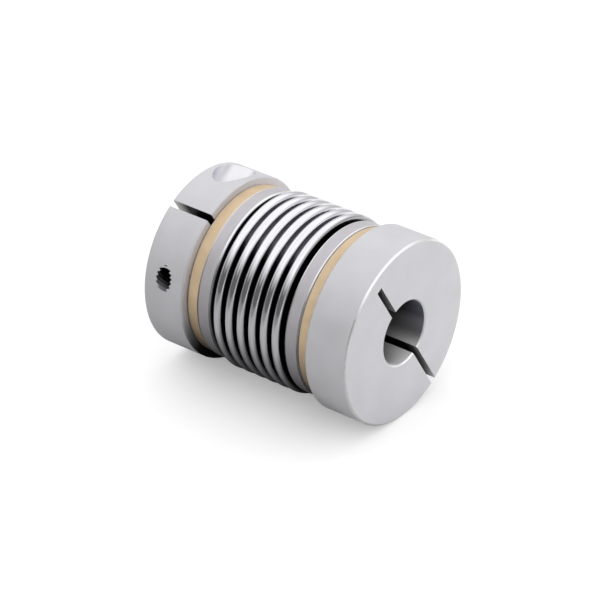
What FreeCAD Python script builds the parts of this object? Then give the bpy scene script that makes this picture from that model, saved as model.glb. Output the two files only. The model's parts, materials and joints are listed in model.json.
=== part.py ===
import FreeCAD, Part
import math
import os
import Sketcher

# A clamp-hub bellows coupling for joining two shafts end to end.
#
# Frame: the origin is at the coupling's centre, on its turning axis.
# +X runs along the axis towards the front hub, and +Z is up.
# Both hubs are the same part, turned end for end.

# name, value (mm, or degrees for an angle), what it is
SIZES = [
    ("overall_length", 52.0, "from one hub's outer face to the other's"),
    ("hub_radius", 20.0, "outside of both clamp hubs"),
    ("hub_length", 10.2, "clamp collar of a hub, along the axis"),
    ("bore_radius", 7.0, "shaft bore"),
    ("face_chamfer", 0.4, "outer edge of a hub's outer face"),
    ("back_chamfer", 0.3, "outer edge of a collar's inner face"),
    ("bore_chamfer", 0.3, "both ends of the bore"),
    ("slit_width", 1.5, "saw cut across a hub"),
    ("relief_reach", 16.8, "how far the saw cut runs past the axis on its blind side"),
    ("slit_angle", 122.0, "direction in which the rear hub's slit opens, from +Y towards +Z"),
    ("screw_offset", 14.2, "clamp screw's axis from the coupling's axis"),
    ("seat_depth", 4.2, "screw seat from the middle of the slit"),
    ("counterbore_radius", 3.75, "pocket for the screw's head"),
    ("clearance_radius", 2.25, "screw hole on the head's side of the slit"),
    ("running_radius", 2.08, "screw hole where the screw turns in the far jaw"),
    ("tap_minor_radius", 1.65, "crests of the tapped hole's thread"),
    ("tap_major_radius", 2.02, "roots of the tapped hole's thread"),
    ("tip_gap", 0.5, "from the screw's tip to the open part of the tapped hole"),
    ("thread_pitch", 0.7, "M4 coarse thread"),
    ("thread_mouth", 0.5, "height of the thread cutter's section"),
    ("thread_clear", 0.15, "how far the thread cutter stands clear of the wall it cuts"),
    ("head_radius", 3.5, "M4 socket head"),
    ("head_height", 4.0, "M4 socket head"),
    ("shank_radius", 2.0, "M4 screw"),
    ("shank_length", 12.0, "under the head"),
    ("shank_root_radius", 1.57, "roots of the screw's thread"),
    ("threaded_length", 10.0, "from the screw's tip"),
    ("tip_chamfer", 0.4, "screw's tip"),
    ("head_chamfer", 0.3, "top edge of the screw's head"),
    ("socket_width", 3.0, "across the flats of the hexagon"),
    ("socket_depth", 2.0, "hexagon socket"),
    ("bond_width", 3.0, "bond ring, along the axis"),
    ("bond_radius", 18.35, "outside of a bond ring"),
    ("ring_width", 3.3, "end ring, along the axis"),
    ("ring_radius", 18.6, "outside of an end ring"),
    ("edge_break", 0.15, "edges of the rings"),
    ("wave_pitch", 2.98, "from one crest of the bellows to the next"),
    ("wave_count", 6, "crests of the bellows"),
    ("crest_radius", 19.4, "outside of a crest"),
    ("crest_bend", 0.97, "outer bend of a crest"),
    ("root_radius", 13.9, "outside of the bellows between two crests"),
    ("wall", 0.3, "sheet of the bellows"),
    ("flex_gap", 0.3, "room for two neighbouring sections to tilt or slide"),
    ("overrun", 25.0, "how far a cutting outline runs, past every outside surface"),
]


class Size:
    """A length with its value and the sheet expression that gives it."""

    def __init__(self, value, text):
        self.value = value
        self.text = text

    def joined(self, sign, other, value):
        return Size(value, "(%s %s %s)" % (self.text, sign, other.text))

    def __add__(self, other):
        return self.joined("+", other, self.value + other.value)

    def __sub__(self, other):
        return self.joined("-", other, self.value - other.value)

    def __mul__(self, number):
        return Size(self.value * number, "(%s * %r)" % (self.text, float(number)))

    def __neg__(self):
        return self * -1


ZERO = Size(0.0, "0")


def fill_sheet(doc):
    """Put the driving sizes in a spreadsheet and return them by name."""
    sheet = doc.addObject("Spreadsheet::Sheet", "Sizes")
    sizes = {}
    for row, (name, value, meaning) in enumerate(SIZES, start=1):
        sheet.set("A%d" % row, name)
        sheet.set("B%d" % row, str(value))
        sheet.set("C%d" % row, meaning)
        sheet.setAlias("B%d" % row, name)
        sizes[name] = Size(float(value), "Sizes." + name)
    doc.recompute()
    return sizes


def bind(thing, prop, size):
    """Tie a property of a document object to the sheet."""
    thing.setExpression(prop, size.text)


def add_body(doc, name):
    body = doc.addObject("PartDesign::Body", name)
    body.Label = name
    return body


def add_sketch(body, name, plane):
    """An empty sketch on one of the body's own origin planes."""
    sketch = body.newObject("Sketcher::SketchObject", name)
    planes = {item.Role: item for item in body.Origin.OriginFeatures}
    sketch.AttachmentSupport = [(planes[plane], "")]
    sketch.MapMode = "FlatFace"
    return sketch


def arc_between(start, end, radius, counterclockwise):
    """A circular arc from start to end, less than half a turn."""
    first, last = (start, end) if counterclockwise else (end, start)
    chord = last - first
    middle = (first + last) * 0.5
    rise = math.sqrt(max(radius**2 - chord.Length**2 / 4, 0.0))
    side = FreeCAD.Vector(-chord.y, chord.x, 0).normalize()
    centre = middle + side * rise
    circle = Part.Circle(centre, FreeCAD.Vector(0, 0, 1), radius)
    return Part.ArcOfCircle(circle, circle.parameter(first), circle.parameter(last))


def draw_outline(sketch, corners):
    """Close an outline through corners, each pinned to the sheet.

    A corner is (x, y), or (x, y, radius, counterclockwise) when the edge
    that leaves it is an arc.
    """
    points = [FreeCAD.Vector(corner[0].value, corner[1].value, 0) for corner in corners]
    ends = []
    for index, corner in enumerate(corners):
        start = points[index]
        end = points[(index + 1) % len(points)]
        if len(corner) == 2:
            sketch.addGeometry(Part.LineSegment(start, end), False)
            ends.append((1, 2))
            continue
        radius, counterclockwise = corner[2:]
        sketch.addGeometry(arc_between(start, end, radius.value, counterclockwise), False)
        ends.append((1, 2) if counterclockwise else (2, 1))
        held = sketch.addConstraint(Sketcher.Constraint("Radius", index, radius.value))
        bind(sketch, "Constraints[%d]" % held, radius)
    for index, corner in enumerate(corners):
        before = (index - 1) % len(corners)
        start = ends[index][0]
        sketch.addConstraint(Sketcher.Constraint("Coincident", before, ends[before][1], index, start))
        for kind, place in (("DistanceX", corner[0]), ("DistanceY", corner[1])):
            held = sketch.addConstraint(Sketcher.Constraint(kind, index, start, place.value))
            bind(sketch, "Constraints[%d]" % held, place)


def revolve(body, name, sketch, axis):
    """Turn the first sketch of a body into its solid of revolution."""
    solid = body.newObject("PartDesign::Revolution", name)
    solid.Profile = sketch
    solid.ReferenceAxis = (sketch, [axis])
    solid.Angle = 360.0
    return solid


def groove(body, name, sketch, axis):
    """Cut a turned hole."""
    cut = body.newObject("PartDesign::Groove", name)
    cut.Profile = sketch
    cut.ReferenceAxis = (sketch, [axis])
    cut.Angle = 360.0
    return cut


def cut_thread(body, name, sketch, height, pitch):
    """Cut a right-hand helical groove up the sketch's own vertical axis."""
    thread = body.newObject("PartDesign::SubtractiveHelix", name)
    thread.Profile = sketch
    thread.ReferenceAxis = (sketch, ["V_Axis"])
    thread.Mode = "pitch-height-angle"
    bind(thread, "Pitch", pitch)
    bind(thread, "Height", height)
    return thread


def hub_outline(z):
    """Half section of a hub, with its collar at +X and its spigot inwards."""
    face = z["overall_length"] * 0.5
    back = face - z["hub_length"]
    nose = back - z["bond_width"] - z["ring_width"]
    spigot = z["root_radius"] - z["wall"]
    bore = z["bore_radius"]
    ease = z["bore_chamfer"]
    return [
        (nose, bore + ease),
        (nose + ease, bore),
        (face - ease, bore),
        (face, bore + ease),
        (face, z["hub_radius"] - z["face_chamfer"]),
        (face - z["face_chamfer"], z["hub_radius"]),
        (back + z["back_chamfer"], z["hub_radius"]),
        (back, z["hub_radius"] - z["back_chamfer"]),
        (back, spigot),
        (nose + ease, spigot),
        (nose, spigot - ease),
    ]


def saw_hub(body, z):
    """One saw cut: through to the outside at +Z, blind on the other side."""
    face = z["overall_length"] * 0.5
    over = z["overrun"]
    back = face - z["hub_length"]
    sketch = add_sketch(body, "SlitOutline", "XZ_Plane")
    draw_outline(sketch, [
        (back, -z["relief_reach"]),
        (face + over, -z["relief_reach"]),
        (face + over, over),
        (back, over),
    ])
    slit = body.newObject("PartDesign::Pocket", "Slit")
    slit.Profile = sketch
    slit.SideType = "Symmetric"
    bind(slit, "Length", z["slit_width"])


def place_on_screw_axis(sketch, z):
    """Move a sketch so that its vertical axis is the clamp screw's axis."""
    middle = z["overall_length"] * 0.5 - z["hub_length"] * 0.5
    bind(sketch, "AttachmentOffset.Base.x", middle)
    bind(sketch, "AttachmentOffset.Base.z", z["screw_offset"])


def drill_hub(body, z):
    """The clamp screw's stepped hole, with the head's pocket at -Y."""
    over = z["overrun"]
    jaw = z["slit_width"] * 0.5
    tip = z["shank_length"] - z["seat_depth"] + z["tip_gap"]
    sketch = add_sketch(body, "ScrewHoleOutline", "XY_Plane")
    place_on_screw_axis(sketch, z)
    draw_outline(sketch, [
        (ZERO, -over),
        (z["counterbore_radius"], -over),
        (z["counterbore_radius"], -z["seat_depth"]),
        (z["clearance_radius"], -z["seat_depth"]),
        (z["clearance_radius"], jaw),
        (z["running_radius"], jaw),
        (z["running_radius"], tip),
        (z["tap_minor_radius"], tip),
        (z["tap_minor_radius"], over),
        (ZERO, over),
    ])
    groove(body, "ScrewHole", sketch, "V_Axis")


def tap_hub(body, z):
    """Thread the open end of the screw hole, past the screw's tip."""
    tip = z["shank_length"] - z["seat_depth"]
    half = z["thread_mouth"] * 0.5
    inside = z["tap_minor_radius"] - z["thread_clear"]
    sketch = add_sketch(body, "TapOutline", "XY_Plane")
    place_on_screw_axis(sketch, z)
    draw_outline(sketch, [
        (inside, tip - half),
        (z["tap_major_radius"], tip),
        (inside, tip + half),
    ])
    cut_thread(body, "Tap", sketch, z["hub_radius"] - tip, z["thread_pitch"])


def make_hub(doc, name, z):
    """A clamp hub: collar, spigot, slit and screw hole, one piece."""
    body = add_body(doc, name)
    sketch = add_sketch(body, "HubOutline", "XY_Plane")
    draw_outline(sketch, hub_outline(z))
    revolve(body, "Turned", sketch, "H_Axis")
    saw_hub(body, z)
    drill_hub(body, z)
    tap_hub(body, z)
    return body


def make_screw(doc, name, z):
    """A socket head cap screw: seat at the origin, head at +Z."""
    body = add_body(doc, name)
    sketch = add_sketch(body, "ScrewOutline", "XZ_Plane")
    tip = -z["shank_length"]
    draw_outline(sketch, [
        (ZERO, tip),
        (z["shank_radius"] - z["tip_chamfer"], tip),
        (z["shank_radius"], tip + z["tip_chamfer"]),
        (z["shank_radius"], ZERO),
        (z["head_radius"], ZERO),
        (z["head_radius"], z["head_height"] - z["head_chamfer"]),
        (z["head_radius"] - z["head_chamfer"], z["head_height"]),
        (ZERO, z["head_height"]),
    ])
    revolve(body, "Turned", sketch, "V_Axis")
    broach_socket(body, z)
    roll_thread(body, z)
    return body


def broach_socket(body, z):
    """The hexagon for the key, in the top of the head."""
    sketch = add_sketch(body, "SocketOutline", "XY_Plane")
    bind(sketch, "AttachmentOffset.Base.z", z["head_height"])
    reach = z["socket_width"] * (1 / math.sqrt(3))
    turns = [math.radians(60 * corner) for corner in range(6)]
    draw_outline(sketch, [(reach * math.cos(turn), reach * math.sin(turn)) for turn in turns])
    socket = body.newObject("PartDesign::Pocket", "Socket")
    socket.Profile = sketch
    bind(socket, "Length", z["socket_depth"])


def roll_thread(body, z):
    """The screw's thread, from below its tip up the shank."""
    start = -z["shank_length"] - z["thread_pitch"]
    half = z["thread_mouth"] * 0.5
    outside = z["shank_radius"] + z["thread_clear"]
    sketch = add_sketch(body, "ThreadOutline", "XZ_Plane")
    draw_outline(sketch, [
        (outside, start - half),
        (outside, start + half),
        (z["shank_root_radius"], start),
    ])
    cut_thread(body, "Thread", sketch, z["threaded_length"], z["thread_pitch"])


def make_ring(doc, name, z, inner_end, width, radius):
    """A plain ring on the bellows' neck, at +X, with eased outer edges."""
    body = add_body(doc, name)
    sketch = add_sketch(body, "RingOutline", "XY_Plane")
    outer_end = inner_end + width
    ease = z["edge_break"]
    draw_outline(sketch, [
        (inner_end, z["root_radius"]),
        (outer_end, z["root_radius"]),
        (outer_end, radius - ease),
        (outer_end - ease, radius),
        (inner_end + ease, radius),
        (inner_end, radius - ease),
    ])
    revolve(body, "Turned", sketch, "H_Axis")
    return body


def make_neck(doc, name, z):
    """The straight end of the bellows, bonded over the hub's spigot, at +X."""
    body = add_body(doc, name)
    sketch = add_sketch(body, "NeckOutline", "XY_Plane")
    seam = z["wave_pitch"] * (z["wave_count"].value / 2) + z["flex_gap"] * 0.5
    shoulder = z["overall_length"] * 0.5 - z["hub_length"]
    inside = z["root_radius"] - z["wall"]
    draw_outline(sketch, [
        (seam, inside),
        (shoulder, inside),
        (shoulder, z["root_radius"]),
        (seam, z["root_radius"]),
    ])
    revolve(body, "Turned", sketch, "H_Axis")
    return body


def wave_outline(z):
    """Half section of one wave of the bellows, from root to root."""
    half = z["wave_pitch"] * 0.5 - z["flex_gap"] * 0.5
    bend = z["crest_bend"]
    wall = z["wall"]
    fillet = half - bend
    root = z["root_radius"]
    low = root + fillet
    high = z["crest_radius"] - bend
    inner = bend - wall
    return [
        (-half, root, fillet, True),
        (-bend, low),
        (-bend, high, bend, False),
        (ZERO, z["crest_radius"], bend, False),
        (bend, high),
        (bend, low, fillet, True),
        (half, root),
        (half, root - wall, fillet + wall, False),
        (inner, low),
        (inner, high, inner, True),
        (ZERO, z["crest_radius"] - wall, inner, True),
        (-inner, high),
        (-inner, low, fillet + wall, False),
        (-half, root - wall),
    ]


def make_wave(doc, name, z, place):
    """One wave of the bellows, place pitches along +X from the centre."""
    body = add_body(doc, name)
    sketch = add_sketch(body, "WaveOutline", "XY_Plane")
    draw_outline(sketch, wave_outline(z))
    revolve(body, "Turned", sketch, "H_Axis")
    bind(body, "Placement.Base.x", z["wave_pitch"] * place)
    return body


def turned_about(axis, degrees):
    return FreeCAD.Placement(FreeCAD.Vector(0, 0, 0), FreeCAD.Rotation(axis, degrees))


def end_placements(z):
    """Where each end's own parts go: the rear end is the front end turned round."""
    along = FreeCAD.Vector(1, 0, 0)
    upright = FreeCAD.Vector(0, 0, 1)
    rear_turn = z["slit_angle"].value - 90
    front = turned_about(along, rear_turn + 180)
    rear = turned_about(along, rear_turn) * turned_about(upright, 180)
    return {"front": front, "rear": rear}


def screw_in_hub(z):
    """The screw's seat in a hub's own frame, with the head towards -Y."""
    middle = z["overall_length"].value / 2 - z["hub_length"].value / 2
    seat = FreeCAD.Vector(middle, -z["seat_depth"].value, z["screw_offset"].value)
    return FreeCAD.Placement(seat, FreeCAD.Rotation(FreeCAD.Vector(1, 0, 0), 90))


def make_end(doc, end, placement, z):
    """Everything that stays with one hub."""
    ring_start = z["overall_length"] * 0.5 - z["hub_length"] - z["bond_width"] - z["ring_width"]
    bond_start = ring_start + z["ring_width"]
    bond = make_ring(doc, end + "_bond_ring", z, bond_start, z["bond_width"], z["bond_radius"])
    ring = make_ring(doc, end + "_end_ring", z, ring_start, z["ring_width"], z["ring_radius"])
    parts = [make_hub(doc, end + "_hub", z), bond, ring, make_neck(doc, "bellows_%s_neck" % end, z)]
    for body in parts:
        body.Placement = placement
    screw = make_screw(doc, end + "_clamp_screw", z)
    screw.Placement = placement * screw_in_hub(z)
    return parts + [screw]


def make_bellows(doc, z):
    count = int(z["wave_count"].value)
    waves = []
    for index in range(count):
        place = index - (count - 1) / 2
        waves.append(make_wave(doc, "bellows_wave_%d" % (index + 1), z, place))
    return waves


def check_document(doc, bodies):
    """Stop unless every object is sound and every sub-part is one solid."""
    for item in doc.Objects:
        if "Invalid" in item.State or "Error" in item.State:
            raise RuntimeError("%s failed: %s" % (item.Name, item.State))
    for body in bodies:
        shape = body.Shape
        if shape.isNull() or not shape.isValid() or len(shape.Solids) != 1:
            raise RuntimeError("%s has no sound single solid" % body.Label)
        for feature in body.Group:
            check_cut(body, feature)


def check_cut(body, feature):
    """Stop if a cutting feature removed nothing."""
    cutters = ("PartDesign::Pocket", "PartDesign::Groove", "PartDesign::SubtractiveHelix")
    if feature.TypeId not in cutters:
        return
    removed = feature.BaseFeature.Shape.Volume - feature.Shape.Volume
    if removed <= 0.01:
        raise RuntimeError("%s in %s cuts nothing" % (feature.Label, body.Label))


def main():
    doc = FreeCAD.newDocument("BellowsCoupling")
    sizes = fill_sheet(doc)
    bodies = make_bellows(doc, sizes)
    for end, placement in end_placements(sizes).items():
        bodies += make_end(doc, end, placement, sizes)
    doc.recompute()
    check_document(doc, bodies)
    os.makedirs("parts", exist_ok=True)
    for body in bodies:
        body.Shape.exportStep("parts/%s.step" % body.Label)
        print("%-22s %10.1f mm3" % (body.Label, body.Shape.Volume))


main()
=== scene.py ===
import json
import math

import bpy
import numpy as np
from mathutils import Matrix, Vector


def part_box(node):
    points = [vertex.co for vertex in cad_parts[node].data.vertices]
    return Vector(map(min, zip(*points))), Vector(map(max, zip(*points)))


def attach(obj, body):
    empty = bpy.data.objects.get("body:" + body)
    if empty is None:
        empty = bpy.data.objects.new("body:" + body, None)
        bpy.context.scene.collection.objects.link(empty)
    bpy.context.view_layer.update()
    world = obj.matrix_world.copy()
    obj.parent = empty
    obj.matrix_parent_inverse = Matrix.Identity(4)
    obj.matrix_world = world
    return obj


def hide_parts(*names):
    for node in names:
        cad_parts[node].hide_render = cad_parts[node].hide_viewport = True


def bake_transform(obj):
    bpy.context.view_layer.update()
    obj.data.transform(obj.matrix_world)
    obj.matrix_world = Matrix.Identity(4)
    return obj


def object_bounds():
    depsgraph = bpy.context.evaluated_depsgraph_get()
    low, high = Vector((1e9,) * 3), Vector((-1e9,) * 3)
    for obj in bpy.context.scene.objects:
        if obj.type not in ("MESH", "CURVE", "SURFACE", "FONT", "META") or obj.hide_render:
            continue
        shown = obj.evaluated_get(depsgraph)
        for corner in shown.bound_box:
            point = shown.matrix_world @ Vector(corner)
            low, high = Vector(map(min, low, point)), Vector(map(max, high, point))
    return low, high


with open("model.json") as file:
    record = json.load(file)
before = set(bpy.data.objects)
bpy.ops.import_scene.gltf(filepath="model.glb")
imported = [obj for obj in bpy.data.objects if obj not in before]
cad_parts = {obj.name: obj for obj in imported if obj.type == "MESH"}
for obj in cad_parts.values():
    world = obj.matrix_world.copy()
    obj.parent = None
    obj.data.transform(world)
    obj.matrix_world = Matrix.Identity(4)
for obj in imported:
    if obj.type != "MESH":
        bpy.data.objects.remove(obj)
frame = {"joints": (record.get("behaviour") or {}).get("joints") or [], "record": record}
CAD_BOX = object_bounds()

# ---------------------------------------------------------------------------
# Measures. Meshes are drawn in millimetres and stored in metres.
# ---------------------------------------------------------------------------
METRES = 0.001
ENDS = {"rear": -1, "front": 1}
JOINTS = {joint["name"]: joint for joint in frame["joints"]}
MOUNTS = {mount["name"]: mount for mount in frame["record"]["mounts"]}


def box_mm(node):
    low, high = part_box(node)
    return low / METRES, high / METRES


HUB_LOW, HUB_HIGH = box_mm("front_hub")
RING_HIGH = box_mm("front_end_ring")[1]
BOND_HIGH = box_mm("front_bond_ring")[1]
NECK_HIGH = box_mm("bellows_front_neck")[1]
WAVE_HIGH = box_mm("bellows_wave_6")[1]

HUB_FACE = HUB_HIGH.x
HUB_NOSE = HUB_LOW.x
HUB_BACK = BOND_HIGH.x
HUB_RADIUS = round(HUB_HIGH.z, 2)
BORE_RADIUS = MOUNTS["front_bore"]["dims"]["r_mm"]
RING_RADIUS = round(RING_HIGH.z, 2)
BOND_RADIUS = round(BOND_HIGH.z, 2)
CREST_RADIUS = round(WAVE_HIGH.z, 2)
ROOT_RADIUS = round(NECK_HIGH.z, 2)
CREST_X = [sum(box.x for box in box_mm("bellows_wave_%d" % wave)) / 2 for wave in range(1, 7)]
WAVE_PITCH = CREST_X[1] - CREST_X[0]

WALL = 0.3
CREST_BEND = 0.97
FACE_CHAMFER = 0.4
BACK_CHAMFER = 0.3
BORE_CHAMFER = 0.3
SLIT_WIDTH = 1.5
RELIEF_REACH = 16.8
SEAT_DEPTH = 4.2
COUNTERBORE_RADIUS = 3.75
CLEARANCE_RADIUS = 2.25
RUNNING_RADIUS = 2.08
TAP_MINOR_RADIUS = 1.65
TAP_MAJOR_RADIUS = 2.02
THREAD_PITCH = 0.7
SCREW_LENGTH = 12.0
SCREW_RADIUS = 2.0
SCREW_ROOT_RADIUS = 1.57
HEAD_RADIUS = 3.5
HEAD_HEIGHT = 4.0
SOCKET_WIDTH = 3.0
SOCKET_DEPTH = 2.0
TIP_GAP = 0.5
HEAD_BEVEL = 0.35
GAP_DEPTH = 0.6
MARGIN = 0.05  # how near a face must lie to a measure to belong to it
HAIR = 0.001  # between two heights at one step of a rod
PAST = 25.0  # how far a cutter runs, past every outside surface

AROUND = 288  # steps round a full turn
BEND_STEPS = 12  # steps in a quarter turn of the bellows' section
EASE_STEPS = 4  # steps round an eased edge
TURNED_ERROR = 0.004  # how far a turned point may lie from its true radius


# ---------------------------------------------------------------------------
# Mesh building
# ---------------------------------------------------------------------------
def make_object(name, points, faces):
    """A mesh object from points in millimetres."""
    mesh = bpy.data.meshes.new(name)
    mesh.from_pydata([tuple(point) for point in points], [], faces)
    mesh.validate()
    piece = bpy.data.objects.new(name, mesh)
    bpy.context.scene.collection.objects.link(piece)
    return piece


def to_metres(piece):
    piece.data.transform(Matrix.Scale(METRES, 4))


def smooth_by_angle(piece, degrees=30):
    """Smooth shading, with a sharp edge wherever the surface turns by more."""
    mesh = piece.data
    mesh.polygons.foreach_set("use_smooth", [True] * len(mesh.polygons))
    mesh.set_sharp_from_angle(angle=math.radians(degrees))


def eased(outline, amounts):
    """Round the corners of a closed outline; amounts holds one radius a corner."""
    drawn = []
    count = len(outline)
    for index, amount in enumerate(amounts):
        corner = Vector(outline[index])
        if not amount:
            drawn.append(tuple(corner))
            continue
        before = (Vector(outline[index - 1]) - corner).normalized()
        after = (Vector(outline[(index + 1) % count]) - corner).normalized()
        half = before.angle(after) / 2
        reach = amount / math.tan(half)
        centre = corner + (before + after).normalized() * (amount / math.sin(half))
        first = (corner + before * reach - centre).normalized()
        last = (corner + after * reach - centre).normalized()
        for step in range(EASE_STEPS + 1):
            spoke = first.slerp(last, step / EASE_STEPS)
            drawn.append(tuple(centre + spoke * amount))
    return drawn


def lathe(name, outline, around=AROUND):
    """Turn a closed outline of (x, radius) about the X axis."""
    turns = np.arange(around) * (2 * math.pi / around)
    points = []
    for x, radius in outline:
        for turn in turns:
            points.append((x, radius * math.cos(turn), radius * math.sin(turn)))
    faces = []
    rows = len(outline)
    for row in range(rows):
        start = row * around
        beyond = ((row + 1) % rows) * around
        for step in range(around):
            after = (step + 1) % around
            faces.append((start + step, start + after, beyond + after, beyond + step))
    piece = make_object(name, points, faces)
    face_outwards(piece)
    return piece


def face_outwards(piece):
    """Turn the whole skin the right way out, by the sign of its volume."""
    mesh = piece.data
    mesh.calc_loop_triangles()
    volume = 0.0
    for triangle in mesh.loop_triangles:
        a, b, c = (mesh.vertices[index].co for index in triangle.vertices)
        volume += a.dot(b.cross(c))
    if volume < 0:
        mesh.flip_normals()


def rod(name, heights, radius_at, around=64):
    """A closed rod along +Z whose radius varies with height and turn."""
    turns = np.arange(around) * (2 * math.pi / around)
    points = []
    for height in heights:
        for turn in turns:
            radius = radius_at(height, turn)
            points.append((radius * math.cos(turn), radius * math.sin(turn), height))
    faces = []
    for row in range(len(heights) - 1):
        start = row * around
        for step in range(around):
            after = (step + 1) % around
            faces.append((start + step, start + after, start + around + after, start + around + step))
    last = (len(heights) - 1) * around
    faces.append(tuple(reversed(range(around))))
    faces.append(tuple(range(last, last + around)))
    return make_object(name, points, faces)


def thread_wave(height, turn):
    """0 at a thread's root and 1 at its crest, for a right-hand thread."""
    phase = (height / THREAD_PITCH - turn / (2 * math.pi)) % 1.0
    ridge = 1 - abs(2 * phase - 1)
    return min(1.0, max(0.0, (ridge - 0.12) / 0.72))


def carve(piece, cutter):
    """Cut one piece with another, exactly, and drop the cutter."""
    change = piece.modifiers.new("cut", "BOOLEAN")
    change.operation = "DIFFERENCE"
    change.solver = "EXACT"
    change.object = cutter
    bpy.context.view_layer.update()
    ready = piece.evaluated_get(bpy.context.evaluated_depsgraph_get())
    mesh = bpy.data.meshes.new_from_object(ready)
    piece.modifiers.clear()
    old = piece.data
    piece.data = mesh
    bpy.data.meshes.remove(old)
    spent = cutter.data
    bpy.data.objects.remove(cutter)
    bpy.data.meshes.remove(spent)


def basis(origin, along, across):
    """A frame with +Z along one direction and +X as near as it can be to another."""
    z = Vector(along).normalized()
    x = (Vector(across) - z * z.dot(Vector(across))).normalized()
    y = z.cross(x)
    place = Matrix((x, y, z)).transposed().to_4x4()
    place.translation = origin
    return place


# ---------------------------------------------------------------------------
# Materials
# ---------------------------------------------------------------------------
class Nodes:
    """A short way to write a node tree."""

    def __init__(self, owner):
        owner.use_nodes = True
        self.nodes = owner.node_tree.nodes
        self.links = owner.node_tree.links

    def add(self, kind, **settings):
        node = self.nodes.new(kind)
        for key, value in settings.items():
            setattr(node, key, value)
        return node

    def put(self, target, value):
        """Set an input, or link it when value is another node's output."""
        if isinstance(value, bpy.types.NodeSocket):
            self.links.new(value, target)
        else:
            target.default_value = value

    def spread(self, value, low, high, from_low=0.3, from_high=0.7):
        """Map a value's range onto low..high."""
        node = self.add("ShaderNodeMapRange")
        for name, given in (("Value", value), ("From Min", from_low), ("From Max", from_high),
                            ("To Min", low), ("To Max", high)):
            self.put(node.inputs[name], given)
        return node.outputs["Result"]

    def math(self, operation, first, second=0.0):
        node = self.add("ShaderNodeMath", operation=operation)
        self.put(node.inputs[0], first)
        self.put(node.inputs[1], second)
        return node.outputs["Value"]

    def mix(self, share, first, second):
        node = self.add("ShaderNodeMix", data_type="RGBA")
        self.put(node.inputs["Factor"], share)
        self.put(node.inputs["A"], first)
        self.put(node.inputs["B"], second)
        return node.outputs["Result"]

    def toward(self, source, direction):
        """How far a position or direction reaches along another direction."""
        node = self.add("ShaderNodeVectorMath", operation="DOT_PRODUCT")
        self.put(node.inputs[0], source)
        self.put(node.inputs[1], tuple(Vector(direction).normalized()))
        return node.outputs["Value"]


class Shader(Nodes):
    """A material on the Principled shader."""

    def __init__(self, name):
        self.material = bpy.data.materials.new(name)
        super().__init__(self.material)
        self.surface = self.nodes["Principled BSDF"]
        self.place = self.add("ShaderNodeTexCoord").outputs["Object"]

    def noise(self, size_mm, detail=4.0, stretch=(1, 1, 1)):
        """Noise whose blotches are about size_mm across."""
        mapping = self.add("ShaderNodeMapping")
        self.put(mapping.inputs["Vector"], self.place)
        mapping.inputs["Scale"].default_value = stretch
        node = self.add("ShaderNodeTexNoise")
        self.put(node.inputs["Vector"], mapping.outputs["Vector"])
        node.inputs["Scale"].default_value = 1 / (size_mm * METRES)
        node.inputs["Detail"].default_value = detail
        return node.outputs["Fac"]

    def off_axis(self):
        """Distance from the coupling's turning axis, in millimetres."""
        split = self.add("ShaderNodeSeparateXYZ")
        self.put(split.inputs["Vector"], self.place)
        square = self.math("ADD", self.math("POWER", split.outputs["Y"], 2.0),
                           self.math("POWER", split.outputs["Z"], 2.0))
        return self.math("DIVIDE", self.math("SQRT", square), METRES)

    def rise(self):
        """1 straight above the turning axis, 0 level with it and -1 straight below."""
        height = self.math("DIVIDE", self.toward(self.place, (0, 0, 1)), METRES)
        return self.math("DIVIDE", height, self.off_axis())

    def shaded(self, color, least, from_rise, to_rise):
        """Darken a colour down the underside, to least of itself, in place of real shade."""
        share = self.spread(self.rise(), least, 1.0, from_rise, to_rise)
        return self.mix(share, (0, 0, 0, 1), color)

    def near_face(self, dark_mm, bright_mm):
        """1 close to either outer face of the coupling, falling to 0 further in."""
        along = self.math("ABSOLUTE", self.toward(self.place, (1, 0, 0)))
        inside = self.math("SUBTRACT", HUB_FACE, self.math("DIVIDE", along, METRES))
        return self.spread(inside, 1.0, 0.0, bright_mm, dark_mm)

    def bump(self, height, depth_mm, strength):
        node = self.add("ShaderNodeBump")
        node.inputs["Strength"].default_value = strength
        node.inputs["Distance"].default_value = depth_mm * METRES
        self.put(node.inputs["Height"], height)
        self.put(self.surface.inputs["Normal"], node.outputs["Normal"])

    def streak_along_axis(self):
        """Stretch the shine along X, as fine turned grooves round the axis do."""
        self.put(self.surface.inputs["Anisotropic"], 1.0)
        self.put(self.surface.inputs["Anisotropic Rotation"], 0.25)
        around = self.add("ShaderNodeTangent", direction_type="RADIAL", axis="X")
        self.put(self.surface.inputs["Tangent"], around.outputs["Tangent"])

    def finish(self, color, roughness, metallic=1.0):
        self.put(self.surface.inputs["Base Color"], color)
        self.put(self.surface.inputs["Roughness"], roughness)
        self.put(self.surface.inputs["Metallic"], metallic)
        return self.material


COOL = (0.985, 0.98, 1.02)
BLUISH = (0.95, 0.95, 1.15)


def grey(value, tint=(1.0, 1.0, 1.0)):
    return (value * tint[0], value * tint[1], value * tint[2], 1.0)


def blasted_aluminium():
    """Bead-blasted aluminium: satin, cool, with a fine even grain."""
    shader = Shader("blasted_aluminium")
    grain = shader.noise(0.12, 3.0)
    cloud = shader.noise(7.0, 2.0)
    bright = shader.mix(shader.spread(cloud, 0.0, 1.0), grey(0.67, COOL), grey(0.72, COOL))
    dull = shader.mix(shader.spread(cloud, 0.0, 1.0), grey(0.62, COOL), grey(0.67, COOL))
    shader.bump(grain, 0.012, 0.35)
    color = shader.mix(shader.spread(grain, 0.0, 1.0, 0.2, 0.8), dull, bright)
    return shader.finish(color, shader.spread(cloud, 0.62, 0.70), metallic=0.35)


def cut_aluminium():
    """A machined edge with fine turning marks, brightest on top, with painted shade darkening it underneath.
    """
    shader = Shader("cut_aluminium")
    marks = shader.noise(0.05, 2.0, (1, 0.05, 0.05))
    color = shader.mix(shader.spread(marks, 0.0, 1.0), grey(0.90), grey(0.98))
    shader.bump(marks, 0.004, 0.2)
    return shader.finish(shader.shaded(color, 0.70, 0.48, 0.76), shader.spread(marks, 0.26, 0.34))


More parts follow.
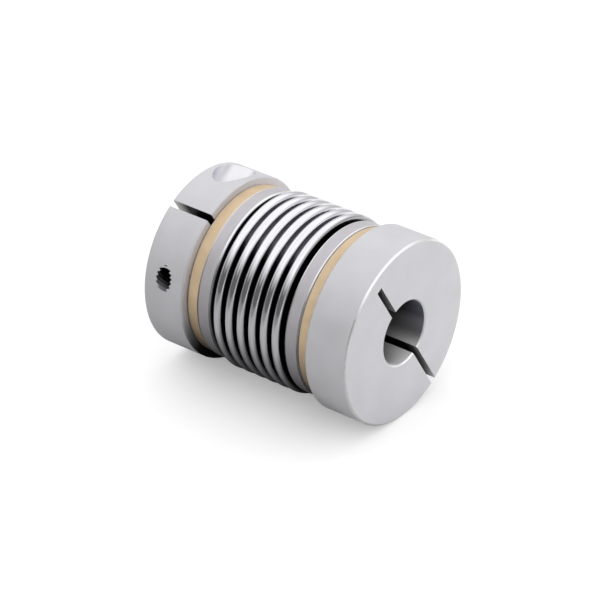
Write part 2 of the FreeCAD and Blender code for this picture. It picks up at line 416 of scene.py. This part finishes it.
def turned_aluminium():
    """The flat step behind the bond ring: pale, turned, and painted darker underneath."""
    shader = Shader("turned_aluminium")
    marks = shader.noise(0.08, 3.0, (0.2, 1, 1))
    color = shader.mix(shader.spread(marks, 0.0, 1.0), grey(0.72, COOL), grey(0.82, COOL))
    shader.bump(marks, 0.006, 0.3)
    return shader.finish(shader.shaded(color, 0.04, -0.65, -0.15), 0.7)


def bore_lip():
    """The bevel at the bore's mouth, painted brightest on its floor."""
    shader = Shader("bore_lip")
    low = shader.spread(shader.rise(), 1.0, 0.0, -0.9, -0.4)
    color = shader.mix(low, grey(0.58, COOL), grey(1.0))
    return shader.finish(color, 0.4)


def bored_aluminium():
    """The bore and the drilled part of the screw hole, painted darker on top and inwards."""
    shader = Shader("bored_aluminium")
    rings = shader.noise(0.10, 2.0, (1, 0.03, 0.03))
    grain = shader.mix(shader.spread(rings, 0.0, 1.0), grey(0.90), grey(1.0))
    low = shader.spread(shader.rise(), 1.0, 0.0, -0.95, 0.05)
    mouth = shader.mix(low, grey(0.20, BLUISH), grain)
    deep = shader.mix(low, grey(0.01, BLUISH), grey(0.35, COOL))
    color = shader.mix(shader.near_face(7.5, 0.5), deep, mouth)
    shader.bump(rings, 0.006, 0.3)
    shader.streak_along_axis()
    return shader.finish(color, shader.spread(rings, 0.62, 0.70))


def milled_aluminium():
    """The pocket for the screw's head: smooth and bright."""
    shader = Shader("milled_aluminium")
    marks = shader.noise(0.15, 2.0)
    color = shader.mix(shader.spread(marks, 0.0, 1.0), grey(0.80, COOL), grey(0.88, COOL))
    shader.bump(marks, 0.006, 0.2)
    return shader.finish(color, shader.spread(marks, 0.34, 0.42))


def sawn_aluminium():
    """The walls of the slit, left as the saw cut them, with painted shade darkening them further into the
    slit.
    """
    shader = Shader("sawn_aluminium")
    lines = shader.noise(0.12, 3.0, (0.06, 1, 1))
    bright = shader.mix(shader.spread(lines, 0.0, 1.0), grey(0.80), grey(0.95))
    color = shader.mix(shader.near_face(3.5, 0.2), grey(0.04), bright)
    shader.bump(lines, 0.015, 0.5)
    return shader.finish(color, shader.spread(lines, 0.38, 0.5))


def tapped_aluminium():
    """The cut thread: painted darker further in, to stand in for the shade there."""
    shader = Shader("tapped_aluminium")
    depth = shader.spread(shader.off_axis(), 0.0, 1.0, HUB_RADIUS - 1.6, HUB_RADIUS - 0.1)
    color = shader.mix(depth, grey(0.01), grey(0.35, COOL))
    return shader.finish(color, 0.4)


def end_ring_steel():
    """Satin stainless steel with faint marks round the ring, and painted shade darkening its underside."""
    shader = Shader("end_ring_steel")
    marks = shader.noise(0.09, 4.0, (1, 0.02, 0.02))
    cloud = shader.noise(6.0, 2.0)
    warm = (1.01, 0.97, 1.03)
    color = shader.mix(shader.spread(marks, 0.0, 1.0), grey(0.48, warm), grey(0.58, warm))
    shader.bump(marks, 0.004, 0.35)
    # Painted shade: darker down the underside.
    color = shader.shaded(color, 0.25, -0.8, 0.4)
    return shader.finish(color, shader.spread(cloud, 0.42, 0.50), metallic=0.25)


def ring_edge():
    """The ring's eased corners, painted pale as a highlight, with painted shade darkening them underneath."""
    shader = Shader("ring_edge")
    corner_streaks = shader.noise(0.1, 3.0, (1, 0.02, 0.02))
    # Pale colour as a painted highlight, streaked a little.
    color = shader.mix(shader.spread(corner_streaks, 0.0, 1.0), grey(0.85), grey(0.96))
    return shader.finish(shader.shaded(color, 0.25, 0.0, 0.6), shader.spread(corner_streaks, 0.24, 0.32))


def ring_side():
    """The ring's flat side by the bellows, painted dark to stand in for the shade there."""
    shader = Shader("ring_side")
    shade_mottle = shader.noise(1.5, 3.0)
    # Painted shade, mottled a little.
    color = shader.mix(shader.spread(shade_mottle, 0.0, 1.0), grey(0.03), grey(0.08))
    return shader.finish(color, 0.5)


def bellows_steel():
    """Polished stainless sheet: bright crests; the roots and the flanks facing along the axis painted dark as
    shade, except on top, where they are painted pale as light falling in.
    """
    shader = Shader("bellows_steel")
    marks = shader.noise(0.22, 3.0, (1, 0.012, 0.012))
    crest = shader.mix(shader.spread(marks, 0.0, 1.0), grey(0.78, COOL), grey(0.88, COOL))
    normal = shader.add("ShaderNodeNewGeometry").outputs["Normal"]
    lean = shader.math("ABSOLUTE", shader.toward(normal, (1, 0, 0)))
    radius = shader.off_axis()
    along = shader.math("ABSOLUTE", shader.toward(shader.place, (1, 0, 0)))
    outer = CREST_X[-1] * METRES
    between = shader.spread(along, 1.0, 0.0, outer, outer + 0.3 * METRES)
    upper = shader.math("MULTIPLY", between, shader.spread(shader.rise(), 0.0, 1.0, 0.72, 0.88))
    # Painted shade on the flanks and roots, painted light on top.
    side = shader.mix(upper, grey(0.35, COOL), grey(0.88, COOL))
    root = shader.mix(upper, grey(0.12), grey(0.88, COOL))
    # Flanks that face along the axis take the painted shade colour.
    flank = shader.mix(shader.spread(lean, 0.0, 1.0, 0.55, 1.0), crest, side)
    depth = shader.spread(radius, 0.0, 1.0, CREST_RADIUS - 2.2, CREST_RADIUS - 0.7)
    color = shader.mix(depth, root, flank)
    rough = shader.mix(depth, grey(0.30), grey(0.13))
    shader.bump(marks, 0.004, 0.3)
    return shader.finish(color, rough)


def bond_resin():
    """The tan band: a dense, slightly uneven resin with a satin skin, and painted shade darkening its
    underside.
    """
    shader = Shader("bond_resin")
    cloud = shader.noise(3.0, 3.0)
    specks = shader.noise(0.18, 3.0)
    base = shader.mix(shader.spread(cloud, 0.0, 1.0), (0.66, 0.49, 0.31, 1), (0.74, 0.57, 0.37, 1))
    color = shader.mix(shader.spread(specks, 0.0, 0.3), base, (0.50, 0.34, 0.19, 1))
    shader.bump(specks, 0.02, 0.3)
    # Painted shade: darker down the underside.
    color = shader.shaded(color, 0.10, -0.72, 0.15)
    return shader.finish(color, shader.spread(cloud, 0.36, 0.48), metallic=0.0)


def bond_edge():
    """The band's corner, painted pale as a highlight, with painted shade darkening it underneath."""
    shader = Shader("bond_edge")
    corner_streaks = shader.noise(0.1, 3.0, (1, 0.02, 0.02))
    # Pale colour as a painted highlight, streaked a little.
    color = shader.mix(shader.spread(corner_streaks, 0.0, 1.0), (0.80, 0.69, 0.54, 1), (0.92, 0.84, 0.72, 1))
    color = shader.shaded(color, 0.15, 0.1, 0.8)
    return shader.finish(color, shader.spread(corner_streaks, 0.45, 0.55), metallic=0.0)


def screw_steel():
    """Blackened alloy steel, worn a little bright."""
    shader = Shader("screw_steel")
    wear = shader.noise(0.5, 4.0)
    color = shader.mix(shader.spread(wear, 0.0, 1.0, 0.5, 0.8), grey(0.035), grey(0.10))
    shader.bump(shader.noise(0.08, 3.0), 0.006, 0.4)
    return shader.finish(color, shader.spread(wear, 0.32, 0.45), metallic=0.8)


BLASTED, CUT, BORED, SAWN, TAPPED, POCKET, STEP, LIP = range(8)
HUB_MATERIALS = [blasted_aluminium(), cut_aluminium(), bored_aluminium(), sawn_aluminium(),
                 tapped_aluminium(), milled_aluminium(), turned_aluminium(), bore_lip()]
RING_MATERIALS = [end_ring_steel(), ring_edge(), ring_side()]
BELLOWS_MATERIAL = bellows_steel()
BOND_SKIN = bond_resin()
BOND_MATERIALS = [BOND_SKIN, bond_edge(), BOND_SKIN]
SCREW_MATERIAL = screw_steel()


# ---------------------------------------------------------------------------
# Hubs
# ---------------------------------------------------------------------------
def hub_outline():
    """Half section of the front hub, its sharp edges slightly eased."""
    spigot = ROOT_RADIUS - WALL
    corners = [
        (HUB_NOSE, BORE_RADIUS + BORE_CHAMFER, 0),
        (HUB_NOSE + BORE_CHAMFER, BORE_RADIUS, 0),
        (HUB_FACE - BORE_CHAMFER, BORE_RADIUS, 0.06),
        (HUB_FACE, BORE_RADIUS + BORE_CHAMFER, 0.3),
        (HUB_FACE, HUB_RADIUS - FACE_CHAMFER, 0.4),
        (HUB_FACE - FACE_CHAMFER, HUB_RADIUS, 0.2),
        (HUB_BACK + BACK_CHAMFER, HUB_RADIUS, 0.1),
        (HUB_BACK, HUB_RADIUS - BACK_CHAMFER, 0.1),
        (HUB_BACK, spigot, 0),
        (HUB_NOSE + BORE_CHAMFER, spigot, 0),
        (HUB_NOSE, spigot - BORE_CHAMFER, 0),
    ]
    return eased([corner[:2] for corner in corners], [corner[2] for corner in corners])


def screw_place(end):
    """The clamp screw's frame: origin in the slit's middle plane, +Z out of its head."""
    joint = JOINTS[end + "_screw_turn"]
    return basis(Vector(joint["pos_m"]) / METRES, joint["axis"], (1, 0, 0))


def saw_cutter(end):
    """The slit: through to the outside by the screw, blind past the bore."""
    side = ENDS[end]
    screw = Vector(JOINTS[end + "_screw_turn"]["pos_m"]) / METRES
    opening = Vector((0, screw.y, screw.z)).normalized()
    across = Vector(JOINTS[end + "_screw_turn"]["axis"]).normalized()
    points = []
    for x in (HUB_BACK, HUB_FACE + PAST):
        for sideways in (-SLIT_WIDTH / 2, SLIT_WIDTH / 2):
            for reach in (-RELIEF_REACH, PAST):
                points.append(Vector((side * x, 0, 0)) + across * sideways + opening * reach)
    faces = [(0, 1, 3, 2), (4, 6, 7, 5), (0, 4, 5, 1), (2, 3, 7, 6), (0, 2, 6, 4), (1, 5, 7, 3)]
    cutter = make_object("saw", points, faces)
    face_outwards(cutter)
    return cutter


def hole_cutter(end):
    """The screw's stepped hole, and the thread in its open end."""
    tip = SEAT_DEPTH - SCREW_LENGTH
    low = -HUB_RADIUS
    steps = np.arange(low, tip - TIP_GAP, THREAD_PITCH / 16)

    def radius_at(height, turn):
        if height < tip - TIP_GAP:
            return TAP_MINOR_RADIUS + (TAP_MAJOR_RADIUS - TAP_MINOR_RADIUS) * thread_wave(height, turn)
        if height < -SLIT_WIDTH / 2:
            return RUNNING_RADIUS
        return CLEARANCE_RADIUS if height < SEAT_DEPTH else COUNTERBORE_RADIUS

    heights = list(steps) + [tip - TIP_GAP + HAIR, -SLIT_WIDTH / 2 - HAIR, -SLIT_WIDTH / 2 + HAIR]
    heights += [SEAT_DEPTH - HAIR, SEAT_DEPTH + HAIR, PAST]
    cutter = rod("hole", heights, radius_at, around=96)
    cutter.data.transform(screw_place(end))
    return cutter


def turned_side(radii):
    """1 on the outside, -1 in the bore, and 0 on any other face."""
    for true_radius, side in ((HUB_RADIUS, 1), (BORE_RADIUS, -1)):
        if all(abs(radius - true_radius) < TURNED_ERROR for radius in radii):
            return side
    return 0


def hub_finish(centre, normal, radii, screw_local, x):
    """The finish of one hub face, by where it lies."""
    side = turned_side(radii)
    if side:
        return BLASTED if side > 0 else BORED
    radius = math.hypot(centre.y, centre.z)
    reach = math.hypot(screw_local.x, screw_local.y)
    level = screw_local.z
    if abs(level) < SLIT_WIDTH / 2 + MARGIN and abs(normal.x) < 0.1 and x > HUB_BACK - MARGIN:
        if BORE_RADIUS + MARGIN < radius:
            return SAWN
    if reach < TAP_MAJOR_RADIUS + MARGIN and level < 0:
        return TAPPED
    if reach < COUNTERBORE_RADIUS + MARGIN and 0 < level < SEAT_DEPTH + MARGIN:
        return BORED
    if reach < COUNTERBORE_RADIUS + MARGIN and level > 0:
        return POCKET
    sloped = 0.3 < abs(normal.x) < 0.95
    if sloped and x > HUB_FACE - FACE_CHAMFER - MARGIN:
        return CUT if radius > (BORE_RADIUS + HUB_RADIUS) / 2 else LIP
    if radius < BORE_RADIUS + MARGIN:
        return BORED
    return STEP if abs(x - HUB_BACK) < BACK_CHAMFER + MARGIN else BLASTED


def paint_hub(piece, end):
    """Give every face its finish, and exact normals where the cuts leave long slivers."""
    mesh = piece.data
    into_screw = screw_place(end).inverted()
    normals = []
    for face in mesh.polygons:
        centre = Vector(face.center)
        corners = [mesh.vertices[index].co for index in face.vertices]
        spokes = [Vector((0, corner.y, corner.z)) for corner in corners]
        radii = [spoke.length for spoke in spokes]
        x = centre.x * ENDS[end]
        face.material_index = hub_finish(centre, face.normal, radii, into_screw @ centre, x)
        side = turned_side(radii)
        normals += [tuple(spoke.normalized() * side) for spoke in spokes]
    smooth_by_angle(piece, 28)
    mesh.normals_split_custom_set(normals)


def make_hub(end):
    piece = lathe(end + "_hub_body", hub_outline())
    if ENDS[end] < 0:
        piece.data.transform(Matrix.Rotation(math.pi, 4, "Z"))
    carve(piece, saw_cutter(end))
    carve(piece, hole_cutter(end))
    for material in HUB_MATERIALS:
        piece.data.materials.append(material)
    paint_hub(piece, end)
    to_metres(piece)
    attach(piece, end + "_end")
    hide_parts(end + "_hub")


# ---------------------------------------------------------------------------
# Rings
# ---------------------------------------------------------------------------
def make_band(name, node, end, radius, eases, gaps, materials):
    """A ring round the neck. eases and gaps are for its bellows side, then its hub side.

    materials are for its skin, its outer corners and its flat side by the bellows.
    """
    side = ENDS[end]
    low, high = box_mm(node)
    near, far = sorted((abs(low.x), abs(high.x)))
    floor = radius - GAP_DEPTH
    corners = [(near, ROOT_RADIUS + 0.01, 0), (far, ROOT_RADIUS + 0.01, 0)]
    if gaps[1]:
        corners += [(far, floor, 0), (far - gaps[1], floor, 0)]
    corners += [(far - gaps[1], radius, eases[1]), (near + gaps[0], radius, eases[0])]
    if gaps[0]:
        corners += [(near + gaps[0], floor, 0), (near, floor, 0)]
    outline = eased([corner[:2] for corner in corners], [corner[2] for corner in corners])
    piece = lathe(name, [(side * x, r) for x, r in outline])
    smooth_by_angle(piece, 20)
    for material in materials:
        piece.data.materials.append(material)
    for face in piece.data.polygons:
        lean = face.normal.x * side
        face.material_index = 2 if lean < -0.98 else 1 if 0.1 < abs(lean) < 0.98 else 0
    to_metres(piece)
    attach(piece, end + "_end")
    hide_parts(node)


# ---------------------------------------------------------------------------
# Bellows
# ---------------------------------------------------------------------------
def quarter(centre, radius, start, turn):
    """Points of a quarter arc in the (x, radius) plane; angles in degrees."""
    points = []
    for step in range(BEND_STEPS + 1):
        angle = math.radians(start + turn * step / BEND_STEPS)
        points.append((centre[0] + radius * math.cos(angle), centre[1] + radius * math.sin(angle)))
    return points


def half_wave(crest_x, root_x, offset):
    """The sheet from a crest down to a root, offset inwards from its outside."""
    side = 1 if root_x > crest_x else -1
    crest_centre = (crest_x, CREST_RADIUS - CREST_BEND)
    root_bend = abs(root_x - crest_x) - CREST_BEND
    root_centre = (root_x, ROOT_RADIUS + root_bend)
    crest = quarter(crest_centre, CREST_BEND - offset, 90, -90 * side)
    start = 180 if side > 0 else 0
    root = quarter(root_centre, root_bend + offset, start, 90 * side)
    return crest + root


def fold_outline(first, last, offset):
    """The sheet from one crest to the next."""
    root = (first + last) / 2
    down = half_wave(first, root, offset)
    up = half_wave(last, root, offset)
    return down + up[::-1][1:]


def neck_outline(crest_x, far_x, offset):
    """The sheet from a crest down to the straight neck, and along it."""
    side = 1 if far_x > crest_x else -1
    root = crest_x + side * WAVE_PITCH / 2
    return half_wave(crest_x, root, offset) + [(far_x, ROOT_RADIUS - offset)]


def outline_normals(outline):
    """Unit normals of an open outline, exact on its arcs' ends at the crests."""
    points = np.array(outline)
    steps = np.diff(points, axis=0)
    steps /= np.linalg.norm(steps, axis=1)[:, None]
    tangent = np.vstack([steps[:1], steps[:-1] + steps[1:], steps[-1:]])
    for place in (0, -1):
        if points[place][1] > CREST_RADIUS - 2 * WALL:
            tangent[place] = (1.0 if points[-1][0] > points[0][0] else -1.0, 0.0)
    tangent /= np.linalg.norm(tangent, axis=1)[:, None]
    return np.stack([-tangent[:, 1], tangent[:, 0]], axis=1)


def make_sheet(name, outer, inner, nodes):
    """A closed strip of bellows between two outlines, in place of the two parts that it hides."""
    loop = outer + inner[::-1]
    piece = lathe(name, loop)
    mesh = piece.data
    mesh.polygons.foreach_set("use_smooth", [True] * len(mesh.polygons))
    give_exact_normals(mesh, outer, inner)
    mesh.materials.append(BELLOWS_MATERIAL)
    to_metres(piece)
    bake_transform(piece)
    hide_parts(*nodes)


def give_exact_normals(mesh, outer, inner):
    """Custom normals, so that the sheet reads as one skin across the crests."""
    outside = outline_normals(outer)
    inside = outline_normals(inner)
    if outside[0][1] < 0:
        outside, inside = -outside, -inside
    rows = np.vstack([outside, -inside[::-1]])
    count = len(outer)
    total = len(rows)
    normals = []
    for face in mesh.polygons:
        strips = {vertex // AROUND for vertex in face.vertices}
        cap = strips in ({count - 1, count}, {total - 1, 0})
        for vertex in face.vertices:
            row, step = divmod(vertex, AROUND)
            if cap:
                normals.append(tuple(face.normal))
                continue
            turn = step * 2 * math.pi / AROUND
            along, away = rows[row]
            normals.append((along, away * math.cos(turn), away * math.sin(turn)))
    mesh.normals_split_custom_set(normals)


def make_bellows():
    """Seven strips, each from one crest to the next."""
    waves = len(CREST_X)
    for fold in range(1, waves):
        first, last = CREST_X[fold - 1], CREST_X[fold]
        nodes = ["bellows_wave_%d" % fold, "bellows_wave_%d" % (fold + 1)]
        make_sheet("bellows_fold_%d" % fold, fold_outline(first, last, 0),
                   fold_outline(first, last, WALL), nodes)
    for end, side, wave in (("rear", -1, 1), ("front", 1, waves)):
        crest = CREST_X[wave - 1]
        far = side * HUB_BACK
        make_sheet("bellows_%s_fold" % end, neck_outline(crest, far, 0), neck_outline(crest, far, WALL),
                   ["bellows_%s_neck" % end, "bellows_wave_%d" % wave])


# ---------------------------------------------------------------------------
# Clamp screws
# ---------------------------------------------------------------------------
def screw_radius(height, turn):
    """A socket head cap screw: knurled head above its seat, threaded shank below."""
    if height > SEAT_DEPTH:
        top = SEAT_DEPTH + HEAD_HEIGHT
        drop = max(0.0, height - (top - HEAD_BEVEL), SEAT_DEPTH + HEAD_BEVEL - height)
        knurl = 0.09 * abs(math.sin(turn * 24)) if drop == 0 else 0.0
        return HEAD_RADIUS - 0.09 + knurl - drop * 0.8
    tip = SEAT_DEPTH - SCREW_LENGTH
    point = max(0.0, 0.4 - (height - tip))
    thread = SCREW_ROOT_RADIUS + (SCREW_RADIUS - SCREW_ROOT_RADIUS) * thread_wave(height, turn)
    return min(thread, SCREW_RADIUS - point)


def make_screw(end):
    tip = SEAT_DEPTH - SCREW_LENGTH
    top = SEAT_DEPTH + HEAD_HEIGHT
    heights = list(np.arange(tip, SEAT_DEPTH - HAIR, THREAD_PITCH / 12)) + [SEAT_DEPTH - HAIR]
    heights += [SEAT_DEPTH + HAIR, SEAT_DEPTH + 0.2, SEAT_DEPTH + 0.36, SEAT_DEPTH + 0.4]
    heights += [top - 0.4, top - 0.34, top - 0.2, top]
    piece = rod(end + "_clamp_screw_body", heights, screw_radius, around=192)
    corner = SOCKET_WIDTH / math.sqrt(3)
    hexagon = rod("socket", [top - SOCKET_DEPTH, top + 1], lambda height, turn: corner, 6)
    carve(piece, hexagon)
    piece.data.transform(screw_place(end))
    smooth_by_angle(piece, 25)
    piece.data.materials.append(SCREW_MATERIAL)
    to_metres(piece)
    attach(piece, end + "_screw")
    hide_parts(end + "_clamp_screw")


# ---------------------------------------------------------------------------
# Stage: floor, light and camera
# ---------------------------------------------------------------------------
AIM = Vector((0.0001, -0.00105, -0.00137))
AZIMUTH = 37.64
ELEVATION = 31.58
DISTANCE = 0.6787
LENS = 197.9
FLOOR_GLOW = 0.30
FLOOR_DIM = 0.46
FLOOR_FAR = 0.25
FLOOR_BRIGHT_SIDE = (0.6, 0.8, 0)
TENT_HORIZON = 0.62
TENT_WALL = 1.2
TENT_TOP = 1.1
OPENING_SIDE = (-0.1, -1, 0)
OPENING_LIGHT = 0.12
FAR_FADE = (-0.15, -0.06)  # metres along the bright side, from far floor to dim floor
OPEN_FADE = (-0.02, 0.03)  # and from there to open floor
CLEAR_FADE = (0.008, 0.034)  # metres from under the coupling to clear of it
WALL_RISE = (0.22, 0.52)  # height of look, from horizon to wall
TOP_RISE = (0.7, 0.95)  # and from wall to top
OPENING_TOP = (0.40, 0.85)  # where the opening ends upwards
OPENING_EDGE = (0.35, 0.6)  # and sideways


def make_floor():
    """A pale floor: near white to the camera; for what the metal mirrors, graded from a bright side to a dim
    one, with painted shade under the coupling.
    """
    reach = 3.0
    level = CAD_BOX[0].z
    mesh = bpy.data.meshes.new("floor")
    corners = [(-reach, -reach, level), (reach, -reach, level), (reach, reach, level), (-reach, reach, level)]
    mesh.from_pydata(corners, [], [(0, 1, 2, 3)])
    floor = bpy.data.objects.new("floor", mesh)
    bpy.context.scene.collection.objects.link(floor)
    shader = Shader("pale_floor")
    seen = shader.add("ShaderNodeLightPath").outputs["Is Camera Ray"]
    depth = shader.toward(shader.place, FLOOR_BRIGHT_SIDE)
    beside = shader.math("ABSOLUTE", shader.toward(shader.place, (0, 1, 0)))
    along = shader.math("ABSOLUTE", shader.toward(shader.place, (1, 0, 0)))
    beyond = shader.math("SUBTRACT", along, HUB_BACK * METRES)
    clear = shader.math("MAXIMUM", beside, shader.math("MULTIPLY", beyond, 3.0))
    near = shader.spread(depth, FLOOR_FAR, FLOOR_DIM, *FAR_FADE)
    open_floor = shader.spread(depth, near, 1.0, *OPEN_FADE)
    # Painted shade under the coupling, seen only in what the metal mirrors.
    mirrored = shader.math("MULTIPLY", open_floor, shader.spread(clear, 0.06, 1.0, *CLEAR_FADE))
    material = shader.finish(shader.mix(seen, mirrored, grey(0.80)), 0.8, metallic=0.0)
    shader.surface.inputs["Specular IOR Level"].default_value = 0.0
    shader.surface.inputs["Emission Color"].default_value = (1, 1, 1, 1)
    lift = shader.mix(seen, grey(0.0), grey(FLOOR_GLOW))
    shader.put(shader.surface.inputs["Emission Strength"], lift)
    mesh.materials.append(material)


def light_stage():
    """A white tent, dimmer at its horizon, with a dark opening on the camera's side."""
    world = bpy.data.worlds.new("light_tent")
    bpy.context.scene.world = world
    tent = Nodes(world)
    look = tent.add("ShaderNodeTexCoord").outputs["Generated"]
    height = tent.toward(look, (0, 0, 1))
    wall = tent.spread(height, TENT_HORIZON, TENT_WALL, *WALL_RISE)
    cloth = tent.spread(height, wall, TENT_TOP, *TOP_RISE)
    low = tent.spread(height, 1.0, 0.0, *OPENING_TOP)
    aside = tent.spread(tent.toward(look, OPENING_SIDE), 0.0, 1.0, *OPENING_EDGE)
    side = tent.math("MULTIPLY", low, aside)
    path = tent.add("ShaderNodeLightPath").outputs
    hole = tent.math("MULTIPLY", side, path["Is Glossy Ray"])
    light = tent.math("ADD", tent.math("MULTIPLY", cloth, tent.math("SUBTRACT", 1.0, hole)),
                      tent.math("MULTIPLY", hole, OPENING_LIGHT))
    behind = tent.nodes["Background"]
    behind.inputs["Color"].default_value = (1, 1, 1, 1)
    tent.put(behind.inputs["Strength"], tent.math("MAXIMUM", light, path["Is Camera Ray"]))


def place_camera():
    turn, lift = math.radians(AZIMUTH), math.radians(ELEVATION)
    back = Vector((math.sin(turn) * math.cos(lift), -math.cos(turn) * math.cos(lift), math.sin(lift)))
    data = bpy.data.cameras.new("camera")
    data.lens = LENS
    data.sensor_width = 36.0
    data.clip_start = 0.01
    camera = bpy.data.objects.new("camera", data)
    camera.location = AIM + back * DISTANCE
    camera.rotation_mode = "QUATERNION"
    camera.rotation_quaternion = (-back).to_track_quat("-Z", "Y")
    bpy.context.scene.collection.objects.link(camera)
    bpy.context.scene.camera = camera


for hub_end in ENDS:
    make_hub(hub_end)
    make_screw(hub_end)
    make_band(hub_end + "_bond_band", hub_end + "_bond_ring", hub_end, BOND_RADIUS, (0.2, 0.2),
              (0.1, 0.2), BOND_MATERIALS)
    make_band(hub_end + "_end_band", hub_end + "_end_ring", hub_end, RING_RADIUS, (0.45, 0.25),
              (0, 0), RING_MATERIALS)
make_bellows()
make_floor()
light_stage()
place_camera()
bpy.context.scene.view_settings.view_transform = "Standard"
